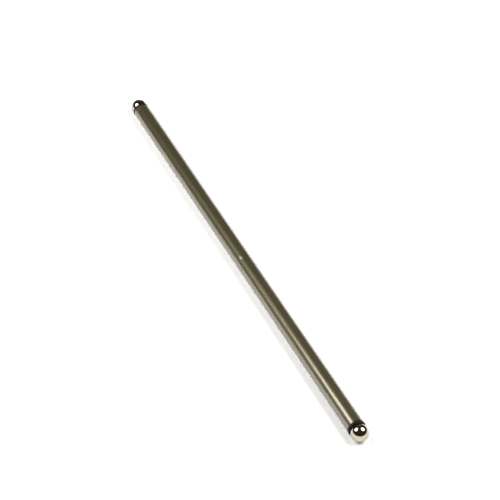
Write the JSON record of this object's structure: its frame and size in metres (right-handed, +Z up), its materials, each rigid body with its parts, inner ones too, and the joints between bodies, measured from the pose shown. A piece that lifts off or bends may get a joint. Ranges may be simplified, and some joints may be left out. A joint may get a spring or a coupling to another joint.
{
  "type": "engine pushrod",
  "caption": "Long slim steel tube with a polished solid ball welded into each end, which carries a lifter's push up to a rocker arm.",
  "frame": {"origin": "middle of the rod, on its axis", "axes": "+X along the rod towards the rocker end, +Z up as the rod lies on a bench"},
  "size_m": [0.254, 0.0082, 0.0082],
  "materials": {
    "tube_steel": "black oxide, oiled",
    "ball_steel": "hardened and polished"
  },
  "bodies": {
    "root": {"pushrod_tube": "tube_steel", "lifter_end_ball": "ball_steel", "rocker_end_ball": "ball_steel"}
  },
  "joints": []
}
